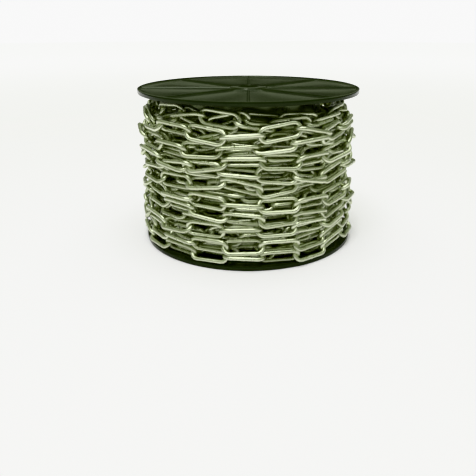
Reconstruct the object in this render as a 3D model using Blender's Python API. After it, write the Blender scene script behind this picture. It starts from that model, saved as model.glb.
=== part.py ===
"""A plastic reel of welded long-link steel chain, standing on one flange.

The reel is two moulded flanges pushed onto a barrel tube. The chain is wound on it in layers. Its outer
layer is modelled link by link, one solid for each turn round the reel, and so is the top turn of the layer
under it, which shows below the top flange. The rest of the inner layers are one plain turned core. Metres,
+Z up, origin on the floor under the middle of the reel.
"""

import math

import bmesh
import bpy
from mathutils import Vector

# Chain: 4 mm wire, long links
LINK_PITCH = 0.032  # inside length of a link, and so the distance from joint to joint
LINK_WIDTH = 0.016  # outside width of a link
BAR = 0.0036  # side of the square bar that stands for 4 mm round wire, with nearly its section
CORNER_RUN = 0.004  # length of the slanted stretch that stands for a link's round inner corner

# Winding
LINKS_PER_TURN = 22  # in the outer layer, so that each turn nests in the one below
OUTER_TURNS = 11
TOP_TURN_LINKS = 15  # of the turn above them, before it dives under the outer layer
TURN_RISE = 0.0129  # from one turn to the next, along the reel
TOP_TURN_RISE = 0.0142
LAYER_STEP = 0.0101  # from the outer layer in to the next
CROSSOVER = math.radians(100)  # the stretch over which the chain climbs a turn, or changes layer
CROSSOVER_END = math.radians(90)  # the crossovers are at the back of the reel
LINK_ROLL = math.radians(45)  # the links lean one way and the other by turns

# Reel
REEL_HEIGHT = 0.167
FLANGE_RADIUS = 0.120
FLANGE_DEPTH = 0.0045  # the rim's and the hub's, along the reel's axis
WEB_THICKNESS = 0.0025
RIM_WIDTH = 0.003
HUB_RADIUS = 0.020
SPINDLE_HOLE_RADIUS = 0.011
RIBS = 8
RIB_WIDTH = 0.002
RIB_HEIGHT = 0.0015
BARREL_RADIUS = 0.060
BARREL_WALL = 0.0025
SPIGOT_DEPTH = 0.008  # the ring on each flange that holds the barrel
SPIGOT_WALL = 0.0025

GAP = 0.0003  # between pieces that touch
ROUND_STEPS = 48  # sides of the flanges, the barrel and the core

# Worked out from the above
OUTER_RADIUS = LINK_PITCH / 2 / math.sin(math.pi / LINKS_PER_TURN)  # of the outer layer's joints
LINK_MIDDLE_RADIUS = OUTER_RADIUS * math.cos(math.pi / LINKS_PER_TURN)
LINK_REACH = (LINK_WIDTH + BAR) / 2 * math.sin(LINK_ROLL)  # of a leaning link, from its own middle
WINDING_LOW = FLANGE_DEPTH + GAP
WINDING_HIGH = REEL_HEIGHT - WINDING_LOW
TURN_HEIGHTS = [WINDING_LOW + LINK_REACH + TURN_RISE * turn for turn in range(OUTER_TURNS)]
TOP_TURN_Z = TURN_HEIGHTS[-1] + TOP_TURN_RISE
CORE_RADIUS = LINK_MIDDLE_RADIUS - LINK_REACH - GAP
CORE_TOP_RADIUS = CORE_RADIUS - LAYER_STEP - GAP
CORE_STEP_Z = TOP_TURN_Z - LINK_REACH - GAP

# Of a link's outline of eight points: those at its two ends, and the faces that start from them
INNER_END_POINTS = (1, 2, 5, 6)
FAR_END_FACE = 1
START_END_FACE = 5
SQUARE_CORNERS = ((1, 1), (-1, 1), (-1, -1), (1, -1))  # signs across a link's bar, in order round it
PITCH_ROUNDS = 6  # of correction, to find the next joint one pitch away
UP = Vector((0, 0, 1))

STEEL = ("zinc_plated_steel", (0.60, 0.62, 0.52), 0.35, 1.0)
PLASTIC = ("black_plastic", (0.03, 0.035, 0.025), 0.45, 0.0)


def material_of(spec):
    """The material of this name, made the first time it is asked for."""
    name, colour, roughness, metallic = spec
    found = bpy.data.materials.get(name)
    if found:
        return found
    made = bpy.data.materials.new(name)
    made.use_nodes = True
    shader = made.node_tree.nodes["Principled BSDF"]
    shader.inputs["Base Color"].default_value = (*colour, 1)
    shader.inputs["Roughness"].default_value = roughness
    shader.inputs["Metallic"].default_value = metallic
    return made


def object_of(name, mesh, spec):
    """Writes a bmesh to a new named object."""
    bmesh.ops.recalc_face_normals(mesh, faces=mesh.faces)
    data = bpy.data.meshes.new(name)
    mesh.to_mesh(data)
    mesh.free()
    data.materials.append(material_of(spec))
    made = bpy.data.objects.new(name, data)
    bpy.context.scene.collection.objects.link(made)
    return made


def turned(name, outline, spec):
    """A closed outline of (radius, height) points turned once round the reel's axis."""
    mesh = bmesh.new()
    rings = []
    for step in range(ROUND_STEPS):
        angle = 2 * math.pi * step / ROUND_STEPS
        rings.append([mesh.verts.new((r * math.cos(angle), r * math.sin(angle), z)) for r, z in outline])
    for ring, following in zip(rings, rings[1:] + rings[:1]):
        for corner in range(len(outline)):
            after = (corner + 1) % len(outline)
            mesh.faces.new((ring[corner], following[corner], following[after], ring[after]))
    made = object_of(name, mesh, spec)
    made.data.shade_smooth()
    made.data.set_sharp_from_angle(angle=math.radians(30))
    return made


def box_mesh(low, high):
    """A bmesh of an upright box."""
    mesh = bmesh.new()
    bmesh.ops.create_cube(mesh, size=1)
    for vertex in mesh.verts:
        vertex.co = Vector(
            low[axis] if vertex.co[axis] < 0 else high[axis] for axis in range(3)
        )
    return mesh


def flange(name, height, facing):
    """One flange. Its outer face is at this height, and facing is 1 where it points down and -1 up."""
    web = FLANGE_DEPTH - WEB_THICKNESS
    spigot_out = BARREL_RADIUS - BARREL_WALL - GAP
    spigot_in = spigot_out - SPIGOT_WALL
    rim_in = FLANGE_RADIUS - RIM_WIDTH
    outline = [
        (SPINDLE_HOLE_RADIUS, 0),
        (HUB_RADIUS, 0),
        (HUB_RADIUS, web),
        (rim_in, web),
        (rim_in, 0),
        (FLANGE_RADIUS, 0),
        (FLANGE_RADIUS, FLANGE_DEPTH),
        (spigot_out, FLANGE_DEPTH),
        (spigot_out, FLANGE_DEPTH + SPIGOT_DEPTH),
        (spigot_in, FLANGE_DEPTH + SPIGOT_DEPTH),
        (spigot_in, FLANGE_DEPTH),
        (SPINDLE_HOLE_RADIUS, FLANGE_DEPTH),
    ]
    made = turned(name, [(r, height + facing * z) for r, z in outline], PLASTIC)
    bite = WEB_THICKNESS / 2  # how far a rib's ends and foot run into the hub, the rim and the web
    ends = sorted((height + facing * (web - RIB_HEIGHT), height + facing * (web + bite)))
    for rib in range(RIBS):
        mesh = box_mesh(
            (HUB_RADIUS - bite, -RIB_WIDTH / 2, ends[0]),
            (rim_in + bite, RIB_WIDTH / 2, ends[1]),
        )
        helper = object_of(f"{name}_rib_{rib}", mesh, PLASTIC)
        helper.rotation_euler.z = 2 * math.pi * rib / RIBS
        helper.hide_render = True
        helper.display_type = "WIRE"
        join = made.modifiers.new(f"rib_{rib}", "BOOLEAN")
        join.operation = "UNION"
        join.object = helper
    return made


def eased(share):
    """0 to 1 as the share goes from 0 to 1, starting and ending gently."""
    held = min(max(share, 0), 1)
    return held * held * (3 - 2 * held)


def winding_at(turned_by):
    """The middle of the chain after this much turning: its point, and the way out from the reel's axis."""
    turn, rest = divmod(turned_by, 2 * math.pi)
    climb = eased((rest - (2 * math.pi - CROSSOVER)) / CROSSOVER)
    drop = eased((turned_by - 2 * math.pi * OUTER_TURNS) / CROSSOVER)
    here, above = (TURN_HEIGHTS + [TOP_TURN_Z, TOP_TURN_Z])[int(turn):int(turn) + 2]
    angle = CROSSOVER_END + rest
    outward = Vector((math.cos(angle), math.sin(angle), 0))
    point = outward * (OUTER_RADIUS - LAYER_STEP * drop)
    point.z = here + (above - here) * climb
    return point, outward


def joints_along_winding(count):
    """The points where the chain's links meet, one pitch apart as seen from above, with their outward ways."""
    turned_by = 0
    joints = [winding_at(turned_by)]
    while len(joints) < count:
        step = 2 * math.pi / LINKS_PER_TURN
        for _ in range(PITCH_ROUNDS):
            point, outward = winding_at(turned_by + step)
            step *= LINK_PITCH / (point - joints[-1][0]).xy.length
        turned_by += step
        joints.append((point, outward))
    return joints


def joint_corners(mesh, joint, shift):
    """The four corners of the square where two links bear on each other, in order round it."""
    point, outward = joint
    reach = BAR / math.sqrt(2)
    return [mesh.verts.new(point + shift + reach * way) for way in (outward, UP, -outward, -UP)]


def link_outlines(half_pitch):
    """A link's inner and outer outline, as (along, across) from its middle, with one slanted side a corner."""
    inner_half = LINK_WIDTH / 2 - BAR
    end_half = BAR / 2
    slant = math.atan2(inner_half - end_half, CORNER_RUN)
    inner_quarter = [(half_pitch - CORNER_RUN, inner_half), (half_pitch, end_half)]
    outer_quarter = [
        (half_pitch - CORNER_RUN + BAR * math.tan(slant / 2), LINK_WIDTH / 2),
        (half_pitch + BAR, end_half + BAR * math.tan(math.pi / 4 - slant / 2)),
    ]
    return [
        [(x, y) for x, y in quarter]
        + [(x, -y) for x, y in reversed(quarter)]
        + [(-x, -y) for x, y in quarter]
        + [(-x, y) for x, y in reversed(quarter)]
        for quarter in (inner_quarter, outer_quarter)
    ]


def link_frame(start, end, leaning):
    """A link's middle, and the directions along it, across it and square to it."""
    along = (end[0] - start[0]).normalized()
    outward = start[1] + end[1]
    outward = (outward - along * outward.dot(along)).normalized()
    upward = outward.cross(along)
    across = outward * math.cos(LINK_ROLL) + upward * (leaning * math.sin(LINK_ROLL))
    normal = upward * math.cos(LINK_ROLL) - outward * (leaning * math.sin(LINK_ROLL))
    return (start[0] + end[0]) / 2, along, across, normal


def link_side(mesh, frame, outlines, side, corners, leaning):
    """The points of one flat side of a link, whose inner ends are corners shared with the next links."""
    middle, along, across, normal = frame
    inner, outer = outlines
    shift = 1 if leaning > 0 else 0
    points = []
    for index, (x, y) in enumerate(inner):
        if index in INNER_END_POINTS:
            turn = SQUARE_CORNERS.index((1 if y > 0 else -1, side)) + shift
            points.append(corners[x > 0][turn % 4])
        else:
            points.append(mesh.verts.new(middle + along * x + across * y + normal * (side * BAR / 2)))
    rim = [mesh.verts.new(middle + along * x + across * y + normal * (side * BAR / 2)) for x, y in outer]
    return points, rim


def add_link(mesh, joints, leaning, corners, open_ends):
    """One link between two joints, leaning one way, 1, or the other, -1."""
    start, end = joints
    frame = link_frame(start, end, leaning)
    outlines = link_outlines((end[0] - start[0]).length / 2)
    inner_top, outer_top = link_side(mesh, frame, outlines, 1, corners, leaning)
    inner_low, outer_low = link_side(mesh, frame, outlines, -1, corners, leaning)
    for here in range(8):
        after = (here + 1) % 8
        mesh.faces.new((inner_top[here], inner_top[after], outer_top[after], outer_top[here]))
        mesh.faces.new((inner_low[here], outer_low[here], outer_low[after], inner_low[after]))
        mesh.faces.new((outer_top[here], outer_top[after], outer_low[after], outer_low[here]))
        # Where another link bears on an end, the steel runs through, with no face between
        if here not in open_ends:
            mesh.faces.new((inner_top[here], inner_low[here], inner_low[after], inner_top[after]))


def chain_turn(name, joints):
    """One turn of chain, its links joined where they bear on each other."""
    mesh = bmesh.new()
    last = len(joints) - 1
    corners = []
    for number, joint in enumerate(joints):
        shift = Vector()
        if number == 0:
            shift = (joint[0] - joints[1][0]).normalized() * GAP
        if number == last:
            shift = (joint[0] - joints[last - 1][0]).normalized() * GAP
        corners.append(joint_corners(mesh, joint, shift))
    for number in range(last):
        open_ends = []
        if number > 0:
            open_ends.append(START_END_FACE)
        if number < last - 1:
            open_ends.append(FAR_END_FACE)
        leaning = 1 if number % 2 else -1
        add_link(mesh, joints[number:number + 2], leaning, corners[number:number + 2], open_ends)
    return object_of(name, mesh, STEEL)


def chain():
    """The turns that show: the outer layer's from the bottom up, then the top turn of the layer under it."""
    counts = [LINKS_PER_TURN] * OUTER_TURNS + [TOP_TURN_LINKS]
    joints = joints_along_winding(sum(counts) + 1)
    for turn, count in enumerate(counts):
        first = turn * LINKS_PER_TURN
        chain_turn(f"chain_turn_{turn + 1:02d}", joints[first:first + count + 1])


def main():
    for old in list(bpy.data.objects):
        bpy.data.objects.remove(old)
    flange("bottom_flange", 0, 1)
    flange("top_flange", REEL_HEIGHT, -1)
    inside = BARREL_RADIUS - BARREL_WALL
    turned(
        "barrel",
        [
            (inside, WINDING_LOW),
            (BARREL_RADIUS, WINDING_LOW),
            (BARREL_RADIUS, WINDING_HIGH),
            (inside, WINDING_HIGH),
        ],
        PLASTIC,
    )
    turned(
        "chain_inner_layers",
        [
            (BARREL_RADIUS + GAP, WINDING_LOW),
            (CORE_RADIUS, WINDING_LOW),
            (CORE_RADIUS, CORE_STEP_Z),
            (CORE_TOP_RADIUS, CORE_STEP_Z),
            (CORE_TOP_RADIUS, WINDING_HIGH),
            (BARREL_RADIUS + GAP, WINDING_HIGH),
        ],
        STEEL,
    )
    chain()


main()
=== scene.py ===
# %% [markdown]
# # A reel of long-link steel chain
# Long-link chain is sold by the metre, off a plastic reel. The reel is two ribbed flanges on a tube, and the
# chain is one run of welded wire links, wound on in layers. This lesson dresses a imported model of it: the
# model gives the sizes and places, and each cell below makes one part look like the real one.

# %% Load the frame
import math

import bmesh
import bpy
import numpy as np
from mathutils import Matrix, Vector


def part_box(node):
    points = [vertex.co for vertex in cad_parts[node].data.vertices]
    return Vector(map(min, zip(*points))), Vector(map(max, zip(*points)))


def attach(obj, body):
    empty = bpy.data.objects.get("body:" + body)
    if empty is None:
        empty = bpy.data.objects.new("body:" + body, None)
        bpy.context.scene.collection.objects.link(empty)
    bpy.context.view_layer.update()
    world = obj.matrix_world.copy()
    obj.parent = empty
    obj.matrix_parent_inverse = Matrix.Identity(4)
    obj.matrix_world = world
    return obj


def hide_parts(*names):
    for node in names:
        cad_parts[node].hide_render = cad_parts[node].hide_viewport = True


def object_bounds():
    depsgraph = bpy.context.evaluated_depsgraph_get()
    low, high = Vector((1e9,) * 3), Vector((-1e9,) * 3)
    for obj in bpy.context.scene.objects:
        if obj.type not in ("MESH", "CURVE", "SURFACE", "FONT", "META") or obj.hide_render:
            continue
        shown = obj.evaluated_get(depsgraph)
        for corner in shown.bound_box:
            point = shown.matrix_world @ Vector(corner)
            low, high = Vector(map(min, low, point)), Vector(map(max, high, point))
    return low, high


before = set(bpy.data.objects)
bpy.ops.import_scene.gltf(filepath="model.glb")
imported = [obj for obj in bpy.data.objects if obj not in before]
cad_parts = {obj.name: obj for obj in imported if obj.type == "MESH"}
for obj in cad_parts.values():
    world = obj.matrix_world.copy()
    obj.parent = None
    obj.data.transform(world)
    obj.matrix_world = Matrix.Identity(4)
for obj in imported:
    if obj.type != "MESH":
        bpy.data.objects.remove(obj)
cad_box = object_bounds()
print("parts in the frame:", ", ".join(sorted(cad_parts)))

# %% [markdown]
# ## The sizes that everything hangs on
# The flanges and the space between them are read from the frame. Long-link chain is sold by its wire, and
# the rest follows from that: eight wires from joint to joint, and four wires wide. The wire's own thickness
# is read off the picture, as a share of the flange's radius.

# %% Read the reel, and name the chain's sizes
REEL_HEIGHT = cad_box[1].z
FLANGE_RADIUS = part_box("bottom_flange")[1].x
WINDING_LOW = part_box("chain_inner_layers")[0].z
WINDING_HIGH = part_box("chain_inner_layers")[1].z
BARREL_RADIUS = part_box("barrel")[1].x
WIRE = 0.0372 * FLANGE_RADIUS
PITCH = 8 * WIRE
LINK_WIDTH = 4 * WIRE
print(f"reel {2 * FLANGE_RADIUS:.3f} m across and {REEL_HEIGHT:.3f} m high")
print(f"wire {WIRE * 1000:.2f} mm thick, {PITCH * 1000:.1f} mm from joint to joint")

# %% [markdown]
# ## The camera
# The picture was taken from a little above, with the reel upright. The camera's distance, its tilt and its
# lens come from how flat the two flanges look and how much wider the near one seems. It is made first,
# because every later choice is judged through it.

# %% Set up the camera
CAMERA_DISTANCE = 2.475 * 2 * FLANGE_RADIUS
CAMERA_HEIGHT = 0.9761 * 2 * FLANGE_RADIUS
CAMERA_TILT = math.radians(22.65)
FOCAL_LENGTH = 39.58  # mm
SENSOR_WIDTH = 36  # mm
REEL_FROM_CENTRE = -0.0216  # share of the picture's width

lens = bpy.data.cameras.new("camera")
lens.lens = FOCAL_LENGTH
lens.sensor_width = SENSOR_WIDTH
lens.shift_x = REEL_FROM_CENTRE
lens.clip_start = 0.01
camera = bpy.data.objects.new("camera", lens)
bpy.context.scene.collection.objects.link(camera)
camera.location = (0, -CAMERA_DISTANCE, CAMERA_HEIGHT)
camera.rotation_euler = (math.radians(90) - CAMERA_TILT, 0, 0)
bpy.context.scene.camera = camera
print("camera at", tuple(round(c, 3) for c in camera.location))

# %% [markdown]
# ## Helpers for shader nodes and meshes
# A material in Blender is a small graph. These helpers add a node, join two sockets and make a noise, so
# that each finish below reads as a short recipe. The last one turns arrays of points into an object.

# %% Small helpers
def new_finish(name):
    """A new material and its Principled shader."""
    made = bpy.data.materials.new(name)
    made.use_nodes = True
    return made, made.node_tree.nodes["Principled BSDF"]


def add_node(finish, kind, **settings):
    node = finish.node_tree.nodes.new(kind)
    for key, value in settings.items():
        setattr(node, key, value)
    return node


def join(finish, out_socket, in_socket):
    finish.node_tree.links.new(out_socket, in_socket)


def noise(finish, scale, detail):
    """Noise in the object's own space. Its factor socket is given back."""
    where = add_node(finish, "ShaderNodeTexCoord")
    texture = add_node(finish, "ShaderNodeTexNoise")
    texture.inputs["Scale"].default_value = scale
    texture.inputs["Detail"].default_value = detail
    join(finish, where.outputs["Object"], texture.inputs["Vector"])
    return texture.outputs["Fac"]


def ramp(finish, factor, stops):
    """A colour ramp through these (position, colour) stops."""
    node = add_node(finish, "ShaderNodeValToRGB")
    while len(node.color_ramp.elements) < len(stops):
        node.color_ramp.elements.new(0.5)
    for element, (position, colour) in zip(node.color_ramp.elements, stops):
        element.position = position
        element.color = (*colour, 1)
    join(finish, factor, node.inputs["Fac"])
    return node.outputs["Color"]


def map_range(finish, factor, low, high):
    """A factor from 0 to 1, mapped to the range from low to high."""
    node = add_node(finish, "ShaderNodeMapRange")
    node.inputs["To Min"].default_value = low
    node.inputs["To Max"].default_value = high
    join(finish, factor, node.inputs["Value"])
    return node.outputs["Result"]


def bump(finish, shader, height, strength, distance):
    node = add_node(finish, "ShaderNodeBump")
    node.inputs["Strength"].default_value = strength
    node.inputs["Distance"].default_value = distance
    join(finish, height, node.inputs["Height"])
    join(finish, node.outputs["Normal"], shader.inputs["Normal"])


def mesh_object(name, points, faces, finish):
    """A smooth object from arrays of points and faces, which rides on the reel."""
    data = bpy.data.meshes.new(name)
    data.from_pydata([tuple(p) for p in points], [], [tuple(f) for f in faces])
    data.validate()
    data.materials.append(finish)
    made = bpy.data.objects.new(name, data)
    bpy.context.scene.collection.objects.link(made)
    data.shade_smooth()
    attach(made, "root")
    return made


# %% [markdown]
# ## The zinc finish
# The wire is drawn bright, welded and then zinc plated, with a faint olive cast. Zinc plate isn't a mirror:
# it is a metal with a medium roughness, and no two links are quite the same tone. Each link carries its own
# tone in a mesh attribute, which the shader reads, and a fine noise clouds the plate.

# %% Mix the zinc
CLOUD_SHARE = 0.5  # how much of the cloud is added to the link's own tone
DARK_AT, LIGHT_AT = 0.15, 1  # of the two together
ZINC_ROUGHNESS = (0.22, 0.36)


def zinc_finish(name, dark, light):
    finish, shader = new_finish(name)
    tone = add_node(finish, "ShaderNodeAttribute", attribute_name="tone")
    cloud = noise(finish, scale=260, detail=4)
    mix = add_node(finish, "ShaderNodeMath", operation="MULTIPLY_ADD")
    mix.inputs[1].default_value = CLOUD_SHARE
    join(finish, cloud, mix.inputs[0])
    join(finish, tone.outputs["Fac"], mix.inputs[2])
    colour = ramp(finish, mix.outputs[0], [(DARK_AT, dark), (LIGHT_AT, light)])
    join(finish, colour, shader.inputs["Base Color"])
    shader.inputs["Metallic"].default_value = 1.0
    join(finish, map_range(finish, cloud, *ZINC_ROUGHNESS), shader.inputs["Roughness"])
    bump(finish, shader, noise(finish, scale=900, detail=3), strength=0.15, distance=0.0002)
    return finish


zinc = zinc_finish("olive_zinc", (0.405, 0.44, 0.305), (0.63, 0.67, 0.51))
# A darker copy of the zinc: painted shade, for the dark core where the hidden layers lie in shade
painted_shade_zinc = zinc_finish("olive_zinc_painted_shade", (0.12, 0.14, 0.09), (0.24, 0.27, 0.17))
print("finishes:", zinc.name, painted_shade_zinc.name)

# %% [markdown]
# ## The reel's plastic
# The reel is black polypropylene, moulded. Black plastic is never pure black: it has a soft sheen that takes
# the colour of the light, clearest where one looks along it, and a fine grain from the mould. It could be
# one dark colour, but a little cloudiness in colour and roughness is what keeps a wide flange from looking
# like paper.

# %% Mix the black plastic
PLASTIC_COLOURS = [(0.3, (0.012, 0.016, 0.009)), (0.75, (0.022, 0.029, 0.015))]
PLASTIC_ROUGHNESS = (0.12, 0.22)
SHEEN_TINT = (0.90, 1.0, 0.74)
SHEEN_STRENGTH = 0.40


def reel_plastic():
    finish, shader = new_finish("black_polypropylene")
    colour = ramp(finish, noise(finish, scale=35, detail=4), PLASTIC_COLOURS)
    roughness = map_range(finish, noise(finish, scale=60, detail=3), *PLASTIC_ROUGHNESS)
    join(finish, colour, shader.inputs["Base Color"])
    join(finish, roughness, shader.inputs["Roughness"])
    bump(finish, shader, noise(finish, scale=1400, detail=2), strength=0.12, distance=0.0001)
    shader.inputs["Specular Tint"].default_value = (*SHEEN_TINT, 1)
    shader.inputs["Specular IOR Level"].default_value = SHEEN_STRENGTH
    shader.inputs["IOR"].default_value = 1.38
    return finish


plastic = reel_plastic()
print("finish:", plastic.name)

# %% [markdown]
# ## One link
# A link is a loop of round wire: two straight sides and two half-round ends. It could be a curve with a
# round bevel, but hundreds of them are needed as plain meshes, so a ring of points is carried round the
# loop by a formula. Midway on one side the wire's two ends are welded, which leaves a low bead.

# %% Shape one link
END_RADIUS = (LINK_WIDTH - WIRE) / 2
STRAIGHT_HALF = (PITCH + WIRE) / 2 - END_RADIUS
BEAD_RISE = 0.13  # share of the wire's radius
BEAD_WIDTH = 0.0015


def loop_points(end_steps, side_places):
    """Points round the wire's middle line: place, outward way, and how much the weld swells the wire."""
    points = []
    for side in (1, -1):
        for step in range(end_steps):
            angle = math.pi * (step / (end_steps - 1) - 0.5)
            way = (side * math.cos(angle), side * math.sin(angle))
            centre = side * STRAIGHT_HALF
            points.append(((centre + END_RADIUS * way[0], END_RADIUS * way[1]), way, 1.0))
        for place in side_places:
            x = side * place * STRAIGHT_HALF
            swell = 1 + (BEAD_RISE * math.exp(-((x / BEAD_WIDTH) ** 2)) if side > 0 else 0)
            points.append(((x, side * END_RADIUS), (0, side), swell))
    return points


def link_shape(end_steps, side_places, section_steps):
    """A link's points, in metres about its middle, and its faces."""
    loop = loop_points(end_steps, side_places)
    points = []
    for (x, y), (out_x, out_y), swell in loop:
        for step in range(section_steps):
            angle = 2 * math.pi * step / section_steps
            out = WIRE / 2 * swell * math.cos(angle)
            points.append((x + out * out_x, y + out * out_y, WIRE / 2 * swell * math.sin(angle)))
    faces = []
    for here in range(len(loop)):
        after = (here + 1) % len(loop)
        for step in range(section_steps):
            beside = (step + 1) % section_steps
            faces.append(
                (
                    here * section_steps + step,
                    after * section_steps + step,
                    after * section_steps + beside,
                    here * section_steps + beside,
                )
            )
    return np.array(points), np.array(faces)


# Points along a side are given as shares of half its length, and lie closest at the weld
outer_link = link_shape(9, (0.55, 0.16, 0.09, 0.0, -0.09, -0.16, -0.55), 12)
inner_link = link_shape(7, (0.1, -0.1), 8)
print("faces in a link:", len(outer_link[1]), "outside and", len(inner_link[1]), "inside")

# %% [markdown]
# ## Laying the chain on the reel
# The chain goes on under a little tension, turn beside turn and layer over layer. It could be placed link by
# link, but a real winding is never that neat: turns wander, links roll as they like, and each one rides up
# on what lies under it. So the links are first laid along two rough spirals, and then they are settled.
# Across the front, each turn of the outer spiral is given the height and the slope that its row has in the
# picture. The back can't be seen, so there the turns simply climb.

# %% How high each turn lies
LINKS_PER_TURN = 20
OUTER_RADIUS = PITCH / 2 / math.sin(math.pi / LINKS_PER_TURN)
FIRST_TURN = WINDING_LOW + 0.0095
CROSSOVER = math.radians(100)  # at the end of each turn, at the back of the reel


def eased(share):
    held = np.clip(share, 0, 1)
    return held * held * (3 - 2 * held)


def turn_height(turned, first, rise):
    """A turn lies level, and climbs to the next one over its last stretch."""
    turn, rest = np.divmod(turned, 2 * math.pi)
    return first + rise * (turn + eased((rest - 2 * math.pi + CROSSOVER) / CROSSOVER))


# %% The outer turns, as they lie across the front
# Millimetres from the lower flange, and millimetres of climb for each radian to the right
FRONT_TURNS = [
    (9, 3), (20, 1), (35, 0), (48.5, -4), (64, -4), (80, 1),
    (92.5, -11), (104, 8), (118, 4), (129, -6), (137, -1),
]
OUTER_TURNS = len(FRONT_TURNS)
FRONT_SPAN = 0.8  # radians to each side of the front
START_DROP = 1.5  # mm, from the first turn's middle to the chain's start


def outer_height(turned):
    """Heights along the outer layer. At the back, each turn climbs steadily to the next."""
    places, heights = [0.0], [FRONT_TURNS[0][0] - START_DROP]
    for number, (middle, climb) in enumerate(FRONT_TURNS):
        for way in (-FRONT_SPAN, 0, FRONT_SPAN):
            places.append(math.pi * (2 * number + 1) + way)
            heights.append(middle + climb * way)
    return WINDING_LOW + np.interp(turned, places, heights) / 1000


# %% Let the turns wander
WAVES = 12
HEIGHT_RATES = (0.3, 2.2)  # of the slowest and the fastest wave, in waves to a turn
ROLL_RATES = (0.1, 1.5)


def sway(turned, source, slowest, fastest):
    """A slow random wave along the chain, about one high."""
    wave = np.zeros_like(turned)
    for _ in range(WAVES):
        rate = source.uniform(slowest, fastest)
        wave += source.normal() * np.cos(rate * turned + source.uniform(0, 2 * math.pi))
    return wave / math.sqrt(WAVES)


# %% Lay links along a spiral
FIRST_ROLL = math.radians(5)
ROLL_SWAY = math.radians(32)
TURN_SWAY = 0.0025


def lay_links(turned, radius, height, source):
    """Middles and turning matrices of links at these places, each turned a quarter from the last."""
    height = height + TURN_SWAY * sway(turned, source, *HEIGHT_RATES)
    angle = math.pi / 2 + turned
    middle = np.c_[radius * np.cos(angle), radius * np.sin(angle), height]
    along = np.gradient(middle, axis=0)
    along /= np.linalg.norm(along, axis=1, keepdims=True)
    outward = np.c_[np.cos(angle), np.sin(angle), 0 * angle]
    outward -= along * (outward * along).sum(1, keepdims=True)
    outward /= np.linalg.norm(outward, axis=1, keepdims=True)
    upward = np.cross(outward, along)
    quarters = (np.arange(len(turned)) + 1) % 2
    roll = FIRST_ROLL + math.pi / 2 * quarters + ROLL_SWAY * sway(turned, source, *ROLL_RATES)
    across = outward * np.cos(roll)[:, None] + upward * np.sin(roll)[:, None]
    return middle, np.stack([along, across, np.cross(along, across)], axis=2)


# %% Lay the outer layer, and the turn that dives under it
LAYING_SLACK = 0.0034  # to start from a little further out
LAYER_STEP = 0.0130  # from one layer's middle to the next one's
DIVE_START = math.radians(360)  # before the end of the outer layer
DIVE_STRETCH = math.radians(290)
TOP_TURN_LINKS = 12  # in the part of a turn that ends the layer
FIRST_LINK = 0.83  # of a link's length past the back of the reel
outer_count = OUTER_TURNS * LINKS_PER_TURN + TOP_TURN_LINKS
turned = (np.arange(outer_count) + FIRST_LINK) * 2 * math.pi / LINKS_PER_TURN
dive = eased((turned - 2 * math.pi * OUTER_TURNS + DIVE_START) / DIVE_STRETCH)
turned += np.cumsum(dive) * (2 * math.pi / LINKS_PER_TURN) * LAYER_STEP / (OUTER_RADIUS - LAYER_STEP)
radius = OUTER_RADIUS + LAYING_SLACK - LAYER_STEP * dive
outer = lay_links(turned, radius, outer_height(turned), np.random.default_rng(5))

# %% Lay the layer below
INNER_TURNS = 11.5
INNER_TOP = WINDING_LOW + 0.122
inner_radius = OUTER_RADIUS - LAYER_STEP
inner_count = round(INNER_TURNS * 2 * math.pi * inner_radius / PITCH)
turned = np.arange(inner_count) * PITCH / inner_radius
inner_rise = (INNER_TOP - FIRST_TURN) / (INNER_TURNS - 1)
height = turn_height(turned, FIRST_TURN, inner_rise)
inner = lay_links(turned, inner_radius + LAYING_SLACK, height, np.random.default_rng(3))
print("links laid:", inner_count, "inside and", outer_count, "outside")

# %% [markdown]
# ## Settling the links
# Blender's rigid bodies could settle them, but hooked rings need many small steps. Position-based relaxing
# is quicker and always gives the same result. Each link is a handful of points round its wire. Again and
# again all points are drawn towards the reel, wires that cut into each other are pushed apart, hooked ends
# are brought together, and each link's points are then made rigid again.

# %% The skeleton of a link, for settling
# An end is three straight pieces. Their corners lie a little outside the wire's middle line, so that the
# pieces themselves keep near it.
CORNER = math.radians(30)
CORNER_REACH = STRAIGHT_HALF + 0.92 * END_RADIUS
BEARING_WEIGHT = 4.0  # of the points where links bear on each other, over the wire's other points
quarter = [(STRAIGHT_HALF, END_RADIUS), (CORNER_REACH, END_RADIUS * math.sin(CORNER))]
right_side = quarter + [(x, -y) for x, y in reversed(quarter)]
wire_loop = right_side + [(-x, -y) for x, y in right_side]
LOOP = len(wire_loop)
SKELETON = np.array(
    [(x, y, 0) for x, y in wire_loop]
    + [(0, END_RADIUS, 0), (0, -END_RADIUS, 0), (PITCH / 2, 0, 0), (-PITCH / 2, 0, 0)]
)
HEAD, TAIL = LOOP + 2, LOOP + 3  # where the next link and the last one bear
WEIGHTS = np.array([1.0] * (LOOP + 2) + [BEARING_WEIGHT] * 2)
WEIGHTS /= WEIGHTS.sum()
SEGMENTS = np.array([(k, (k + 1) % LOOP) for k in range(LOOP)])
SEGMENT_LENGTHS = np.linalg.norm(SKELETON[SEGMENTS[:, 0]] - SKELETON[SEGMENTS[:, 1]], axis=1)
HEAD_SEGMENT, TAIL_SEGMENT = 1, 5  # across a link's two ends
HOOKED = np.zeros((LOOP, LOOP), bool)
HOOKED[HEAD_SEGMENT, TAIL_SEGMENT] = True  # a link's head bears on the next one's tail

# %% Find the wires that lie close to each other
SEARCH_MARGIN = 0.0015


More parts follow.
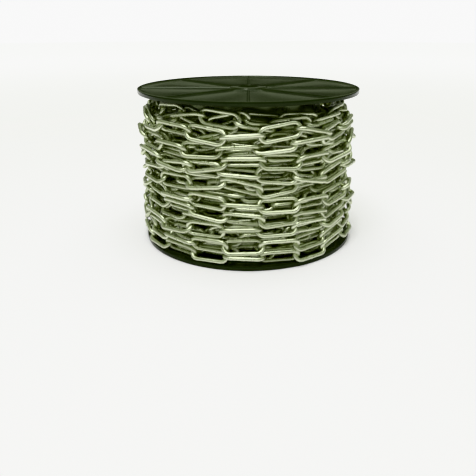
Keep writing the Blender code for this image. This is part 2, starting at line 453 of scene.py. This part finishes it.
def close_wires(points, hooked_to_next):
    """Pairs of wire segments, as link and segment numbers, that are near enough to touch soon."""
    middles = points[:, :LOOP].mean(1)
    apart = np.linalg.norm(middles[:, None] - middles[None], axis=2)
    reach = PITCH + 2 * WIRE + SEARCH_MARGIN
    one, other = np.where(np.triu(apart < reach, 1))
    hooked = (other - one == 1) & hooked_to_next[one]
    centres = (points[:, SEGMENTS[:, 0]] + points[:, SEGMENTS[:, 1]]) / 2
    between = np.linalg.norm(centres[one][:, :, None] - centres[other][:, None], axis=3)
    near = between < (SEGMENT_LENGTHS[:, None] + SEGMENT_LENGTHS[None]) / 2 + WIRE + SEARCH_MARGIN
    near &= ~(hooked[:, None, None] & HOOKED[None])
    pair, first, second = np.where(near)
    return one[pair], first, other[pair], second, hooked[pair]


# %% Find where two straight pieces of wire come closest
def closest_shares(a, b, c, d):
    """Shares along a to b and along c to d where the two come closest."""
    ab, cd, ca = b - a, d - c, a - c
    ab_ab, cd_cd, ab_cd = (ab * ab).sum(1), (cd * cd).sum(1), (ab * cd).sum(1)
    ab_ca, cd_ca = (ab * ca).sum(1), (cd * ca).sum(1)
    slant = ab_ab * cd_cd - ab_cd**2
    s = np.clip((ab_cd * cd_ca - ab_ca * cd_cd) / np.maximum(slant, 1e-15), 0, 1)
    t = np.clip((ab_cd * s + cd_ca) / cd_cd, 0, 1)
    s = np.clip((ab_cd * t - ab_ca) / ab_ab, 0, 1)
    return s, t


# %% Push wires apart where they cut into each other
PUSH = 2.4  # a contact moves only two points of a link, so it moves them more than it has to
HOOKED_CLEARANCE = 0.93  # a link may lie a little closer to the one it hangs on


def part_wires(points, pairs):
    """Moves the ends of overlapping wires apart. Gives how deep each pair cut in."""
    one, first, other, second, hooked = pairs
    per_link = points.shape[1]
    flat = points.reshape(-1, 3)
    ends = [
        one * per_link + SEGMENTS[first, 0],
        one * per_link + SEGMENTS[first, 1],
        other * per_link + SEGMENTS[second, 0],
        other * per_link + SEGMENTS[second, 1],
    ]
    a, b, c, d = (flat[end] for end in ends)
    s, t = closest_shares(a, b, c, d)
    between = a + s[:, None] * (b - a) - c - t[:, None] * (d - c)
    distance = np.linalg.norm(between, axis=1)
    depth = np.where(hooked, HOOKED_CLEARANCE * WIRE, WIRE) - distance
    hit = depth > 0
    way = between[hit] / np.maximum(distance[hit], 1e-9)[:, None]
    move = np.zeros_like(flat)
    counted = np.zeros(len(flat))
    for end, share, sign in zip(ends, (1 - s, s, 1 - t, t), (1, 1, -1, -1)):
        strength = share[hit] * depth[hit] * PUSH / 2 * sign
        for axis in range(3):
            move[:, axis] += np.bincount(end[hit], strength * way[:, axis], len(flat))
        counted += np.bincount(end[hit], share[hit], len(flat))
    flat += move / np.maximum(counted, 1)[:, None]
    return depth


# %% Keep each link rigid
def made_rigid(points):
    """The nearest rigid link to each link's moved points: its points, middle and turning matrix."""
    centre = (points * WEIGHTS[None, :, None]).sum(1)
    rest = SKELETON - (SKELETON * WEIGHTS[:, None]).sum(0)
    moments = np.einsum("nki,kj,k->nij", points - centre[:, None], rest, WEIGHTS)
    left, _, right = np.linalg.svd(moments)
    left[:, :, 2] *= np.linalg.det(left @ right)[:, None]
    turning = left @ right
    moved = centre[:, None] + np.einsum("nij,kj->nki", turning, rest)
    return moved, centre, turning


# %% How far in and out the links may lie
CORE_RADIUS = 0.0965  # of the layers that the two lie on
FOOT_SWELL = 0.0028
FOOT_AT = 0.15  # share of the winding's height
HEAD_FALL = 0.0060
HEAD_AT = 0.75
STRETCH = 0.2  # over which the core swells or falls away
OUTERMOST = FLANGE_RADIUS + 0.0008  # for the wire's middle line


def core_radius_at(height):
    """How far out the layers below reach, which swell a little near the foot and fall away at the top."""
    share = (height - WINDING_LOW) / (WINDING_HIGH - WINDING_LOW)
    swell = FOOT_SWELL * np.exp(-(((share - FOOT_AT) / STRETCH) ** 2))
    return CORE_RADIUS + swell - HEAD_FALL * eased((share - HEAD_AT) / STRETCH)


# %% Settle both layers together
ROUNDS = 420
DRAWN_ROUNDS = 320  # after these the links only bear on each other
DRAW = 0.00005  # towards the axis, in each round
SEARCH_EVERY = 8
DEEP_CUT = 0.001


def settle(middles, turnings, hooked_to_next):
    """Middles and turning matrices of the links, once they bear on each other and on the layers below."""
    points = middles[:, None] + np.einsum("nij,kj->nki", turnings, SKELETON)
    links = np.where(hooked_to_next)[0]
    for number in range(ROUNDS):
        if number % SEARCH_EVERY == 0:
            pairs = close_wires(points, hooked_to_next)
        if number < DRAWN_ROUNDS:
            radius = np.linalg.norm(points[..., :2], axis=2, keepdims=True)
            points[..., :2] -= DRAW * points[..., :2] / radius
        depths = part_wires(points, pairs)
        gap = (points[links + 1, TAIL] - points[links, HEAD]) / 2
        points[links, HEAD] += gap
        points[links + 1, TAIL] -= gap
        radius = np.linalg.norm(points[..., :2], axis=2)
        lowest = core_radius_at(points[..., 2]) + WIRE / 2
        points[..., :2] *= (np.clip(radius, lowest, OUTERMOST) / radius)[..., None]
        points[..., 2] = np.clip(points[..., 2], WINDING_LOW + WIRE / 2, WINDING_HIGH - WIRE / 2)
        points, centre, turning = made_rigid(points)
    print("wires cut in by more than 1 mm:", (depths > DEEP_CUT).sum(), "pairs of", len(depths))
    print(f"widest gap at a hook {2 * np.linalg.norm(gap, axis=1).max() * 1000:.2f} mm")
    return centre, turning


hooked_to_next = np.ones(inner_count + outer_count, bool)
hooked_to_next[[inner_count - 1, -1]] = False  # each layer's last link
middles = np.vstack([inner[0], outer[0]])
turnings = np.vstack([inner[1], outer[1]])
middles, turnings = settle(middles, turnings, hooked_to_next)
print(f"furthest link middle {np.linalg.norm(middles[:, :2], axis=1).max():.4f} m from the axis")

# %% [markdown]
# ## Building the links
# Each settled link is a copy of the one shape, moved and turned. The links could stay separate objects, but
# a turn's links go into one mesh, so that the turn is one named piece, as it is in the frame. Each link gets
# a tone of its own here.

# %% Build a run of chain from settled links
TONES = (0.1, 0.8)  # of the darkest and the brightest link
tone_source = np.random.default_rng(21)


def chain_piece(name, numbers, shape, node):
    """One piece of the links with these numbers. It stands for this node."""
    template, faces = shape
    points = middles[numbers][:, None] + np.einsum("nij,kj->nki", turnings[numbers], template)
    offsets = (np.arange(len(numbers)) * len(template))[:, None, None]
    all_faces = (faces[None] + offsets).reshape(-1, 4)
    piece = mesh_object(name, points.reshape(-1, 3), all_faces, zinc)
    link_tones = tone_source.uniform(*TONES, len(numbers))
    tone = piece.data.attributes.new("tone", "FLOAT", "POINT")
    tone.data.foreach_set("value", np.repeat(link_tones, len(template)))
    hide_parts(node)


outer_numbers = inner_count + np.arange(outer_count)
for turn in range(OUTER_TURNS + 1):
    numbers = outer_numbers[turn * LINKS_PER_TURN:(turn + 1) * LINKS_PER_TURN]
    number = f"{turn + 1:02d}"
    chain_piece("wound_turn_" + number, numbers, outer_link, "chain_turn_" + number)
chain_piece("inner_layer", np.arange(inner_count), inner_link, "chain_inner_layers")

# %% [markdown]
# ## The layer under them
# A third layer shows here and there between the links of the first two. It could be settled with them, but
# so little of it is seen that it is only laid, a little way below the others.

# %% Build the third layer
DEEP_STEP = 0.0020  # below the surface that the others settled on
DEEP_TURNS = 14
DEEP_LIFT = 0.004  # above the second layer's first turn
DEEP_CLIMB = WINDING_HIGH - 0.036 - FIRST_TURN  # from its first turn to its last
deep_radius = CORE_RADIUS - DEEP_STEP
deep_count = round(DEEP_TURNS * 2 * math.pi * deep_radius / PITCH)
turned = np.arange(deep_count) * PITCH / deep_radius
height = turn_height(turned, FIRST_TURN + DEEP_LIFT, DEEP_CLIMB / (DEEP_TURNS - 1))
deep = lay_links(turned, deep_radius, height, np.random.default_rng(8))
numbers = len(middles) + np.arange(deep_count)
middles = np.vstack([middles, deep[0]])
turnings = np.vstack([turnings, deep[1]])
chain_piece("deep_layer", numbers, inner_link, "chain_inner_layers")
print("links in the third layer:", deep_count)

# %% [markdown]
# ## What lies deeper
# Below these layers the chain is hidden. More links could be laid there, but they would hardly be seen. A
# dark core closes the gaps instead: painted shade, in a darker copy of the zinc, where the real reel is in
# shade.

# %% Turn the dark core
def turned_piece(name, outline, steps, finish):
    """An outline of (radius, height) points, in order round it, turned about the reel's axis."""
    points = []
    for step in range(steps):
        angle = 2 * math.pi * step / steps
        points += [(r * math.cos(angle), r * math.sin(angle), z) for r, z in outline]
    faces = []
    corners = len(outline)
    for step in range(steps):
        here, after = step * corners, (step + 1) % steps * corners
        for corner in range(corners):
            beside = (corner + 1) % corners
            faces.append((here + corner, after + corner, after + beside, here + beside))
    return mesh_object(name, points, faces, finish)


CORE_STEPS = 24
CORE_SIDES = 96
CORE_DEPTH = 0.012  # below the surface that the links settled on
CORE_INSIDE = BARREL_RADIUS + 0.0003
heights = [WINDING_LOW + (WINDING_HIGH - WINDING_LOW) * step / CORE_STEPS for step in range(CORE_STEPS + 1)]
outline = [(float(core_radius_at(z)) - CORE_DEPTH, z) for z in heights]
outline += [(CORE_INSIDE, WINDING_HIGH), (CORE_INSIDE, WINDING_LOW)]
# The core's dark zinc is painted shade, put where the hidden layers of the winding lie in shade
core = turned_piece("painted_shade_core", outline, CORE_SIDES, painted_shade_zinc)
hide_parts("chain_inner_layers")

# %% [markdown]
# ## The flanges
# Each flange is one moulding: a rim, a hub with the spindle hole, and a thin web between them that eight
# ribs stiffen. It could be boxes and cylinders joined by booleans, but moulded plastic has no sharp edges.
# So its section is drawn with small radii and turned, and the web is let down a little between the ribs,
# as webs shrink when they cool. The ribs taper, so that the moulding leaves its mould.

# %% Draw the flange's section
SPIGOT_DEPTH = 0.008  # of the ring that holds the barrel
FLANGE_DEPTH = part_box("bottom_flange")[1].z - SPIGOT_DEPTH
WEB_LEVEL = 0.0020  # below the rim's top
HUB_RADIUS = 0.020
HOLE_RADIUS = 0.011
RIM_INSIDE = FLANGE_RADIUS - 0.003
SPIGOT_OUTSIDE = 0.0572
SPIGOT_INSIDE = 0.0547
RIBS = 8
SAG = 0.0010  # of the web, midway between two ribs
WEB_STEPS = 14
WEB_CORNER = 0.001  # radius where the web meets the hub and the rim
flange_section = [
    (HOLE_RADIUS, FLANGE_DEPTH),
    (HOLE_RADIUS, 0.0005),
    (HOLE_RADIUS + 0.0004, 0),
    (HUB_RADIUS - 0.0006, 0),
    (HUB_RADIUS - 0.0001, 0.0004),
    (HUB_RADIUS + 0.0002, WEB_LEVEL - 0.0005),
    (HUB_RADIUS + WEB_CORNER, WEB_LEVEL),
]
web_width = RIM_INSIDE - HUB_RADIUS - 2 * WEB_CORNER
web_start = len(flange_section)
for step in range(1, WEB_STEPS):
    share = step / WEB_STEPS
    flange_section.append((HUB_RADIUS + WEB_CORNER + share * web_width, WEB_LEVEL))
web_end = len(flange_section)
flange_section += [
    (RIM_INSIDE - WEB_CORNER, WEB_LEVEL),
    (RIM_INSIDE - 0.0002, WEB_LEVEL - 0.0005),
    (RIM_INSIDE + 0.0002, 0.0005),
    (RIM_INSIDE + 0.0006, 0),
    (FLANGE_RADIUS - 0.0008, 0),
    (FLANGE_RADIUS - 0.0002, 0.0002),
    (FLANGE_RADIUS, 0.0008),
    (FLANGE_RADIUS, FLANGE_DEPTH - 0.0008),
    (FLANGE_RADIUS - 0.0002, FLANGE_DEPTH - 0.0002),
    (FLANGE_RADIUS - 0.0008, FLANGE_DEPTH),
    (SPIGOT_OUTSIDE, FLANGE_DEPTH),
    (SPIGOT_OUTSIDE, FLANGE_DEPTH + SPIGOT_DEPTH),
    (SPIGOT_INSIDE, FLANGE_DEPTH + SPIGOT_DEPTH),
    (SPIGOT_INSIDE, FLANGE_DEPTH),
]
print(f"flange {FLANGE_DEPTH * 1000:.1f} mm deep, {len(flange_section)} points in its section")

# %% Turn the flange, and let its web down between the ribs
FLANGE_STEPS = 256


def flange_body():
    """The section's points turned about the axis, with the web a little deeper between the ribs."""
    points, faces = [], []
    corners = len(flange_section)
    for step in range(FLANGE_STEPS):
        angle = 2 * math.pi * step / FLANGE_STEPS
        let_down = SAG * abs(math.sin(RIBS / 2 * angle))
        for number, (radius, depth) in enumerate(flange_section):
            if web_start <= number < web_end:
                share = (number - web_start + 1) / (web_end - web_start + 1)
                depth += let_down * math.sin(math.pi * share) ** 0.5
            points.append((radius * math.cos(angle), radius * math.sin(angle), depth))
        here, after = step * corners, (step + 1) % FLANGE_STEPS * corners
        for corner in range(corners):
            beside = (corner + 1) % corners
            faces.append((here + corner, here + beside, after + beside, after + corner))
    return points, faces


# %% Add the tapered ribs
RIB_SECTION = [(-1.7, 2.4), (-1.3, 1.95), (-0.95, 1.6), (-0.75, 0.75), (-0.5, 0.5), (0.5, 0.5)]
RIB_SECTION += [(0.75, 0.75), (0.95, 1.6), (1.3, 1.95), (1.7, 2.4)]  # mm across, and below the rim's top
RIB_BITE = 0.001  # into the hub and the rim


def add_rib(points, faces, angle):
    """A strip over the rib's section, which ends below the web on both sides."""
    first = len(points)
    cos, sin = math.cos(angle), math.sin(angle)
    for radius in (HUB_RADIUS - RIB_BITE, RIM_INSIDE + RIB_BITE):
        for across, depth in RIB_SECTION:
            y = across / 1000
            points.append((radius * cos - y * sin, radius * sin + y * cos, depth / 1000))
    count = len(RIB_SECTION)
    for k in range(count - 1):
        faces.append((first + k, first + k + 1, first + count + k + 1, first + count + k))


SHARPEST_CURVE = math.radians(50)  # a sharper one is an edge


def flange_piece(name, node, height, facing):
    """A flange with its outer face at this height, pointing down where facing is 1, and up where it is -1."""
    points, faces = flange_body()
    for rib in range(RIBS):
        add_rib(points, faces, 2 * math.pi * rib / RIBS)
    placed = [(x, y, height + facing * z) for x, y, z in points]
    made = mesh_object(name, placed, faces, plastic)
    outside = bmesh.new()
    outside.from_mesh(made.data)
    bmesh.ops.recalc_face_normals(outside, faces=outside.faces)
    outside.to_mesh(made.data)
    outside.free()
    made.data.set_sharp_from_angle(angle=SHARPEST_CURVE)
    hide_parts(node)


flange_piece("foot_flange", "bottom_flange", 0, 1)
flange_piece("head_flange", "top_flange", REEL_HEIGHT, -1)

# %% [markdown]
# ## The tube
# The tube between the flanges is plain, and hidden by the chain. It could be turned anew, but the frame's
# own one has its shape already, so that one stays and gets the reel's plastic.

# %% Dress the tube
tube_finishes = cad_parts["barrel"].data.materials
tube_finishes.clear()
tube_finishes.append(plastic)

# %% [markdown]
# ## The studio
# Bright metal and black plastic both show what is around them. The picture has a white ground, but its
# wires have dark sides and its flanges are nearly black, so what they reflect is darker than that ground.
# One white world would be simpler, and would wash them out. So only the camera sees the white, and the metal
# and the plastic see another air, with a faint olive tint, dark low down and brighter higher up. The floor
# is pale, has no sheen, and glows more with distance, so that it runs into the white behind it.

# %% Floor
FLOOR_RADIUS = 6.0
FLOOR_COLOUR = (0.925, 0.895, 0.975)
FLOOR_GLOW_COLOUR = (0.955, 0.935, 1.0)
GLOW_START = 0.4  # from the reel's axis
GLOW_FULL = 3.2
GLOW_STRENGTH = 1.05


def pale_floor():
    """Pale and matt, with a glow that grows with distance from the reel."""
    finish, shader = new_finish("pale_floor")
    shader.inputs["Base Color"].default_value = (*FLOOR_COLOUR, 1)
    shader.inputs["Roughness"].default_value = 0.9
    shader.inputs["Specular IOR Level"].default_value = 0
    place = add_node(finish, "ShaderNodeTexCoord")
    reach = add_node(finish, "ShaderNodeVectorMath", operation="LENGTH")
    glow = add_node(finish, "ShaderNodeMapRange", interpolation_type="SMOOTHSTEP")
    glow.inputs["From Min"].default_value = GLOW_START
    glow.inputs["From Max"].default_value = GLOW_FULL
    glow.inputs["To Max"].default_value = GLOW_STRENGTH
    join(finish, place.outputs["Object"], reach.inputs[0])
    join(finish, reach.outputs["Value"], glow.inputs["Value"])
    join(finish, glow.outputs["Result"], shader.inputs["Emission Strength"])
    shader.inputs["Emission Color"].default_value = (*FLOOR_GLOW_COLOUR, 1)
    return finish


floor_mesh = bpy.data.meshes.new("floor")
disc = bmesh.new()
bmesh.ops.create_circle(disc, cap_ends=True, segments=96, radius=FLOOR_RADIUS)
disc.to_mesh(floor_mesh)
disc.free()
floor_mesh.materials.append(pale_floor())
floor = bpy.data.objects.new("floor", floor_mesh)
bpy.context.scene.collection.objects.link(floor)

# %% The air around
# Brightness by the height of the way looked, from 0 level to 1 straight up
AIR = ((0.02, 0.02), (0.115, 0.02), (0.16, 0.34), (0.30, 0.44), (0.60, 0.55))
AIR_TINT = (0.90, 1.0, 0.72)
BACKDROP = 1.6
world = bpy.data.worlds.new("studio")
bpy.context.scene.world = world
world.use_nodes = True
where = add_node(world, "ShaderNodeTexCoord")
split = add_node(world, "ShaderNodeSeparateXYZ")
seen = add_node(world, "ShaderNodeLightPath")
backdrop = add_node(world, "ShaderNodeMix", data_type="RGBA")
backdrop.inputs["B"].default_value = (BACKDROP, BACKDROP, BACKDROP, 1)
air_colours = [(height, [brightness * share for share in AIR_TINT]) for height, brightness in AIR]
join(world, where.outputs["Generated"], split.inputs["Vector"])
join(world, ramp(world, split.outputs["Z"], air_colours), backdrop.inputs["A"])
join(world, seen.outputs["Is Camera Ray"], backdrop.inputs["Factor"])
join(world, backdrop.outputs["Result"], world.node_tree.nodes["Background"].inputs["Color"])

# %% Lamps
def lamp(name, place, towards, size, power):
    """A soft lamp, which is a lit rectangle."""
    data = bpy.data.lights.new(name, "AREA")
    data.shape = "RECTANGLE"
    data.size, data.size_y = size
    data.energy = power
    made = bpy.data.objects.new(name, data)
    bpy.context.scene.collection.objects.link(made)
    made.location = place
    made.rotation_euler = (Vector(towards) - made.location).to_track_quat("-Z", "Y").to_euler()


lamp("overhead", (0, 0, 2.2), (0, 0, 0), size=(2.6, 2.6), power=46)
lamp("front", (-0.2, -0.75, 1.35), (0, 0, 0.08), size=(0.6, 0.5), power=7)
bpy.context.scene.view_settings.view_transform = "Khronos PBR Neutral"
